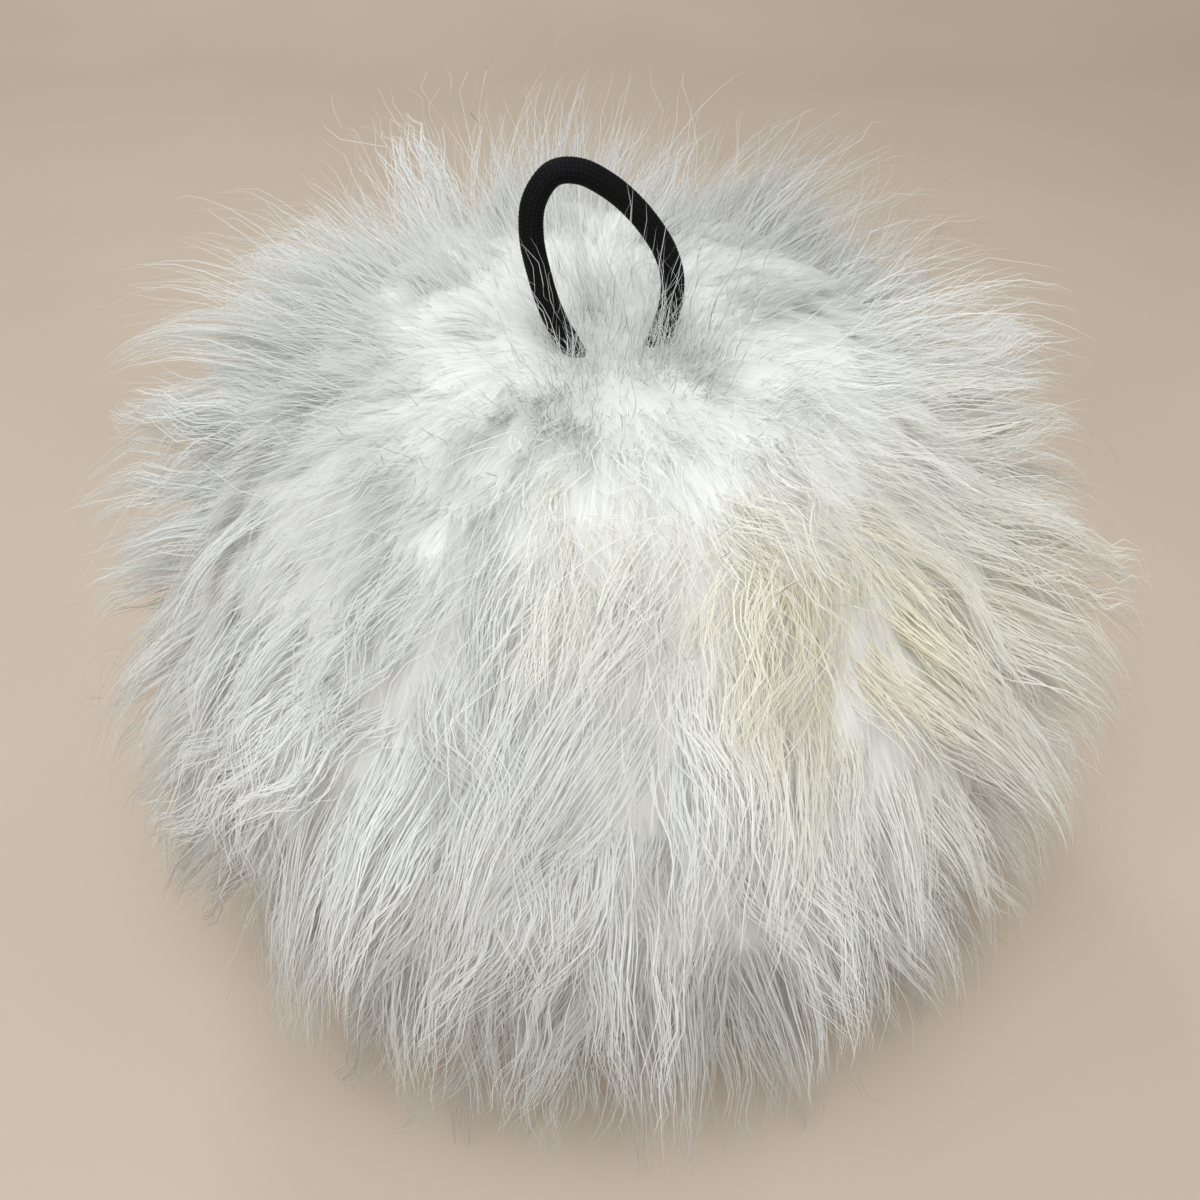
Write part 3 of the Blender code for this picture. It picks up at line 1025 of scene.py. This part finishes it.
    def panel_of(self, roots: Array) -> Array:
        """Which panel each hair belongs to: a half of the crown, or a quarter of the rest."""
        order = list(Panel)
        sides = (Panel.LEFT, Panel.FRONT, Panel.RIGHT, Panel.BACK, Panel.LEFT)
        turn = np.degrees(np.arctan2(roots[:, 1], roots[:, 0]))
        quarter = np.array([order.index(side) for side in sides])
        quarter = quarter[np.searchsorted(self.quarters, turn)]
        fore = (roots - self.ball.mouth_axis)[:, 1] < 0.0
        half = np.where(fore, order.index(Panel.CROWN_FRONT), order.index(Panel.CROWN_BACK))
        return np.where(self.ball.mouth_angle(roots) < self.crown_angle, half, quarter)

    def build(self, families: dict[str, Hairs], finish: bpy.types.Material) -> int:
        """Builds every panel from the hairs of all the families that are rooted in it.

        Args:
            families: the families by name.
            finish: the hair's material.

        Returns:
            How many triangles were made.
        """
        grown = []
        for name, hairs in families.items():
            grown.append(self.strands(hairs))
            LOG.info("grew %s: %d hairs, %d triangles each", name, hairs.count, len(grown[-1][1]))
        total = 0
        for number, panel in enumerate(Panel):
            surface = joined([self.chosen(block, number) for block in grown])
            piece = surface.build(f"pile_{panel.value}", finish)
            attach(piece, "root")
            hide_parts("fur_pelt")
            total += len(surface.triangles)
            LOG.info("built %s: %d triangles", piece.name, len(surface.triangles))
        return total

    def chosen(self, block: tuple[Array, ...], number: int) -> Surface:
        """The hairs of one block that are in the panel of this number."""
        corner, pattern, place, normal, roots = block
        keep = self.panel_of(roots) == number
        first = np.arange(keep.sum())[:, None, None] * corner.shape[1]
        return Surface(
            corner[keep].reshape(-1, 3),
            (first + pattern).reshape(-1, 3),
            place[keep].reshape(-1, 2),
            normal[keep].reshape(-1, 3),
        )


def joined(parts: list[Surface]) -> Surface:
    """The surfaces as one, each one's corners after those before it."""
    starts = np.cumsum([0] + [len(part.corners) for part in parts[:-1]])
    return Surface(
        np.concatenate([part.corners for part in parts]),
        np.concatenate([part.triangles + start for part, start in zip(parts, starts)]),
        np.concatenate([part.places for part in parts]),
        np.concatenate([part.normals for part in parts]),
    )


def closed_grid(rows: int, columns: int) -> Array:
    """The triangles of a grid that closes round and has a fan at each end.

    Args:
        rows: how many rings of corners it has, one after the other.
        columns: how many corners a ring has. The fans' middles come after the last ring.

    Returns:
        Rows of three corner numbers. They face outward where the columns run counter-clockwise
        as seen from beyond the first ring.
    """
    row, column = np.meshgrid(np.arange(rows - 1), np.arange(columns), indexing="ij")
    here = (row * columns + column).ravel()
    beside = (row * columns + (column + 1) % columns).ravel()
    rim = np.arange(columns)
    beyond = (rim + 1) % columns
    low = (rows - 1) * columns
    first, last = rows * columns, rows * columns + 1
    return np.concatenate(
        [
            np.stack([here, here + columns, beside], 1),
            np.stack([beside, here + columns, beside + columns], 1),
            np.stack([np.full_like(rim, first), rim, beyond], 1),
            np.stack([np.full_like(rim, last), beyond + low, rim + low], 1),
        ]
    )


@dataclass
class Underfur:
    """The dense wool under the long hair: the ball's form with a low swell at each lock."""

    ball: Ball
    rows: int = 90
    columns: int = 170
    depth: float = 0.0009
    swell: float = 0.0014
    swell_width: float = 0.085
    floor_gap: float = 0.0006

    def build(self, finish: bpy.types.Material) -> bpy.types.Object:
        """Builds the closed surface.

        A grid of angles from the mouth and angles round it gives the directions. The radius there
        is the pile's reach less its parting and depth, plus a bell curve round the nearest lock.
        What would pass the floor is drawn in along its direction until it rests there.

        Args:
            finish: the wool's material.

        Returns:
            The piece.
        """
        angle = np.linspace(0.0, math.pi, self.rows + 1)[1:-1]
        turn = np.linspace(0.0, 2.0 * math.pi, self.columns, endpoint=False)
        angles, turns = np.meshgrid(angle, turn, indexing="ij")
        upright = np.stack(
            [np.sin(angles) * np.cos(turns), np.sin(angles) * np.sin(turns), np.cos(angles)], -1
        ).reshape(-1, 3)
        upright = np.concatenate([upright, [[0.0, 0.0, 1.0], [0.0, 0.0, -1.0]]])
        directions = upright @ np.array(self.ball.turn.to_3x3()).T
        nearest = np.arccos(np.clip((directions @ self.ball.lock_directions().T).max(1), -1.0, 1.0))
        radius = self.ball.reach - self.ball.parting(directions) - self.depth
        radius = radius + self.swell * np.exp(-((nearest / self.swell_width) ** 2))
        below = np.minimum(directions[:, 2], -1e-6)
        radius = np.minimum(radius, (self.ball.centre_z - self.floor_gap) / -below)
        corners = self.ball.centre + directions * radius[:, None]
        triangles = closed_grid(self.rows - 1, self.columns)
        places = np.stack([turns.ravel() / (2.0 * math.pi), angles.ravel() / math.pi], 1)
        places = np.concatenate([places, [[0.5, 0.0], [0.5, 1.0]]])
        piece = Surface(corners, triangles, places).build("underfur", finish)
        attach(piece, "root")
        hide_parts("fur_pelt")
        return piece


@dataclass
class ElasticLoop:
    """The hanging loop: round elastic in a knitted sleeve, with both legs down in the mouth."""

    ball: Ball
    diameter: float = 0.0028
    leg_gap: float = 0.0004
    leg_end: float = 0.02936
    neck_top: float = 0.03626
    around: int = 32
    wales: int = 16
    stitch: float = 0.00044
    relief: float = 0.00010
    valley: float = 0.45
    sink: float = 0.6
    rows_per_stitch: int = 3
    points_per_span: int = 24
    coarse_step: float = 0.001
    route: tuple[tuple[float, float, float], ...] = (
        (-0.0002, -0.0118, 0.0427),
        (-0.0017, -0.0133, 0.0468),
        (-0.0039, -0.0144, 0.0509),
        (-0.0058, -0.0153, 0.0553),
        (-0.0070, -0.0160, 0.0600),
        (-0.0077, -0.0165, 0.0645),
        (-0.0073, -0.0166, 0.0685),
        (-0.0052, -0.0164, 0.0714),
        (-0.0022, -0.0158, 0.0715),
        (0.0009, -0.0149, 0.0697),
        (0.0036, -0.0140, 0.0672),
        (0.0058, -0.0132, 0.0644),
        (0.0076, -0.0125, 0.0613),
        (0.0086, -0.0120, 0.0578),
        (0.0084, -0.0118, 0.0541),
        (0.0073, -0.0117, 0.0505),
        (0.0057, -0.0116, 0.0468),
        (0.0042, -0.0109, 0.0430),
    )

    @property
    def courses(self) -> float:
        """How many stitches the sleeve has along it."""
        line = self.middle_line(self.coarse_step)
        return float(np.linalg.norm(np.diff(line, axis=0), axis=1).sum()) / self.stitch

    def middle_line(self, step: float) -> Array:
        """Evenly spaced points on the smooth curve through the legs and the route.

        Args:
            step: how far apart the points are.

        Returns:
            The points. Between two of the route's points the curve is a cubic whose slopes are
            half the way between the points on either side.
        """
        side = self.diameter / 2 + self.leg_gap / 2
        left = [(-side, self.leg_end), (-side, self.neck_top)]
        right = [(side, self.neck_top), (side, self.leg_end)]
        ends = [tuple(self.ball.turn @ Vector((x, 0.0, height))) for x, height in left + right]
        given = np.array([*ends[:2], *self.route, *ends[2:]])
        padded = np.vstack([2 * given[0] - given[1], given, 2 * given[-1] - given[-2]])
        a, b, c, d = padded[:-3, None], padded[1:-2, None], padded[2:-1, None], padded[3:, None]
        t = np.linspace(0.0, 1.0, self.points_per_span, endpoint=False)[None, :, None]
        cubic = 2 * b + (c - a) * t + (2 * a - 5 * b + 4 * c - d) * t**2
        cubic = 0.5 * (cubic + (3 * b - a - 3 * c + d) * t**3)
        dense = np.vstack([cubic.reshape(-1, 3), given[-1:]])
        along = np.concatenate([[0.0], np.cumsum(np.linalg.norm(np.diff(dense, axis=0), axis=1))])
        at = np.linspace(0.0, along[-1], round(along[-1] / step) + 1)
        return np.stack([np.interp(at, along, dense[:, k]) for k in range(3)], 1) + self.ball.centre

    def build(self, finish: bpy.types.Material) -> bpy.types.Object:
        """Builds the sleeve as a tube carried along the middle line.

        The radius swells at each knitted stitch: a sine round the tube for the wales, times a
        sine along it, shifted half a stitch from one wale to the next.

        Args:
            finish: the elastic's material.

        Returns:
            The piece.
        """
        step = self.stitch / self.rows_per_stitch
        line = self.middle_line(step)
        way = unit(np.gradient(line, axis=0))
        first = unit(np.cross(way, np.array([0.0, 1.0, 0.0])))
        second = np.cross(way, first)
        run = np.arange(len(line)) * step
        turn = np.linspace(0.0, 2.0 * math.pi, self.around, endpoint=False)
        wale = 0.5 + 0.5 * np.cos(self.wales * turn)[None, :]
        shift = 0.5 * (np.floor(turn * self.wales / (2 * math.pi) + 0.5) % 2)[None, :]
        rib = 0.5 + 0.5 * np.cos(2.0 * math.pi * (run[:, None] / self.stitch + shift))
        bead = wale * (self.valley + (1.0 - self.valley) * rib)
        radius = self.diameter / 2 + self.relief * (bead - self.sink)
        ring = first[:, None] * np.cos(turn)[:, None] + second[:, None] * np.sin(turn)[:, None]
        corners = (line[:, None] + ring * radius[..., None]).reshape(-1, 3)
        corners = np.concatenate([corners, line[:1], line[-1:]])
        triangles = closed_grid(len(line), self.around)[:, [0, 2, 1]]
        u, v = np.meshgrid(turn / (2 * math.pi), run / run[-1], indexing="xy")
        places = np.concatenate([np.stack([u.ravel(), v.ravel()], 1), [[0.5, 0.0], [0.5, 1.0]]])
        piece = Surface(corners, triangles, places).build("elastic_sleeve", finish)
        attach(piece, "root")
        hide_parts("elastic_loop")
        return piece


@dataclass(frozen=True)
class Lamp:
    """A square soft lamp that faces the ball: where it hangs, its width, its watts and colour."""

    name: str
    place: tuple[float, float, float]
    size: float
    power: float
    colour: Colour
    aim: tuple[float, float, float] = (0.0, 0.0, 0.05)

    def hang(self) -> None:
        """Hangs the lamp in the scene."""
        data = bpy.data.lights.new(self.name, "AREA")
        data.shape = "SQUARE"
        data.size = self.size
        data.energy = self.power
        data.color = self.colour
        lamp = bpy.data.objects.new(self.name, data)
        lamp.location = self.place
        way = Vector(self.aim) - Vector(self.place)
        lamp.rotation_euler = way.to_track_quat("-Z", "Y").to_euler()
        bpy.context.scene.collection.objects.link(lamp)


LAMPS = (
    Lamp("key", (-0.36, 0.62, 0.74), 0.22, 1.7, (0.99, 1.0, 0.985)),
    Lamp("fill", (-0.05, -0.58, 0.99), 0.9, 12.4, (0.98, 0.995, 1.0)),
)


@dataclass
class Studio:
    """The floor, the light and the camera."""

    sky: float = 0.40
    sky_colour: Colour = (0.97, 0.985, 1.0)
    eye: tuple[float, float, float] = (0.0, -0.1493, 0.1645)
    look: tuple[float, float, float] = (0.0, 0.0, 0.0533)
    lens: float = 36.1

    def build(self) -> None:
        """Sets the stage and the view."""
        self.lay_floor()
        for lamp in LAMPS:
            lamp.hang()
        world = bpy.data.worlds.new("soft_sky")
        world.use_nodes = True
        background = world.node_tree.nodes["Background"]
        background.inputs["Color"].default_value = (*self.sky_colour, 1.0)
        background.inputs["Strength"].default_value = self.sky
        bpy.context.scene.world = world
        bpy.context.scene.view_settings.view_transform = "Standard"
        self.set_camera()

    def lay_floor(self) -> None:
        """A floor that curves up into a backdrop: level, a quarter circle, then upright."""
        back, radius, wide, high = 0.55, 0.35, 3.0, 1.6
        bend = np.linspace(0.0, math.pi / 2, 24)
        depth = np.concatenate([[-2.0], back + radius * np.sin(bend), [back + radius]])
        height = np.concatenate([[0.0], radius * (1.0 - np.cos(bend)), [high]])
        left = np.stack([np.full_like(depth, -wide), depth, height], 1)
        right = left * np.array([-1.0, 1.0, 1.0])
        corners = np.stack([left, right], 1).reshape(-1, 3)
        row = np.arange(len(depth) - 1)[:, None] * 2
        triangles = np.concatenate([row + [0, 1, 2], row + [1, 3, 2]])
        floor = Surface(corners, triangles, corners[:, :2]).build("floor", PAPER.make())

    def set_camera(self) -> None:
        """Sets the camera that looks down on the ball from the front."""
        data = bpy.data.cameras.new("view")
        data.lens = self.lens
        data.clip_start = 0.005
        camera = bpy.data.objects.new("view", data)
        camera.location = self.eye
        aim = Vector(self.look) - Vector(self.eye)
        camera.rotation_euler = aim.to_track_quat("-Z", "Y").to_euler()
        bpy.context.scene.collection.objects.link(camera)
        bpy.context.scene.camera = camera


FAMILIES = {
    "under hair": Hairs(
        count=13000, segments=5, width=0.00019, reach=0.9, shortest=0.5, gather=0.75, loose=0.05,
        stand=0.0, frizz=0.0001, frizz_length=0.01, turned=0.4, rounded=0.2, even=0.5, point=0.8,
        root_drop=0.0002, in_locks=False, seed=3,
    ),
    "long hair": Hairs(
        count=38500, segments=8, width=0.000135, reach=1.18, shortest=0.40, gather=0.70, loose=0.04,
        stand=0.0, frizz=0.00020, frizz_length=0.008, rounded=0.08, even=0.5, turned=0.17,
        thinning=1.5, seed=5,
    ),
    "mouth fuzz": Hairs(
        count=6500, segments=7, width=0.00009, reach=0.95, shortest=0.45, gather=0.1, loose=0.4,
        stand=0.35, frizz=0.0005, frizz_length=0.0075, zone=Zone.MOUTH, rounded=0.2, even=0.85,
        seed=8,
    ),
    "flyaways": Hairs(
        count=1500, segments=12, width=0.000065, reach=1.12, shortest=0.55, gather=0.3, loose=0.20,
        stand=0.20, frizz=0.0010, frizz_length=0.017, rounded=0.2, even=0.85, seed=13,
    ),
    "hairs over the legs": Hairs(
        count=620, segments=10, width=0.00008, reach=2.0, shortest=0.3, gather=0.0, loose=0.1,
        stand=0.0, frizz=0.0008, frizz_length=0.009, zone=Zone.LEGS, rounded=0.2, even=0.85,
        seed=17,
    ),
}


def dress_inner_pieces() -> None:
    """Gives the pieces that stay as the solids their finishes."""
    finishes = {
        "stuffing": FIBRE,
        "gathering_thread": THREAD,
        "elastic_knot": ElasticFinish("black_elastic_knot"),
    }
    for node, finish in finishes.items():
        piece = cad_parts[node]
        piece.data.materials.clear()
        piece.data.materials.append(finish.make())
        LOG.info("dressed %s", node)


def main() -> None:
    """Builds the pom-pom and its studio."""
    logging.basicConfig(level=logging.INFO, format="%(name)s: %(message)s")
    ball = Ball()
    underfur = Underfur(ball).build(WOOL_IN_PAINTED_SHADE.make())
    LOG.info("built %s: %d triangles", underfur.name, len(underfur.data.polygons))
    ground = Coat(
        ball, lock_gather=0.1, crest_height=0.0008, spikes=0.0, wave=0.0005, short_skirt=0.3
    ).grow()
    total = Pile(ball, Coat(ball).grow(), ground).build(FAMILIES, FurFinish().make())
    LOG.info("the pile has %d triangles", total)
    loop = ElasticLoop(ball)
    knit = ElasticFinish(wales=loop.wales, courses=loop.courses).make()
    sleeve = loop.build(knit)
    LOG.info("built %s: %d triangles", sleeve.name, len(sleeve.data.polygons))
    dress_inner_pieces()
    Studio().build()


if __name__ == "__main__":
    main()
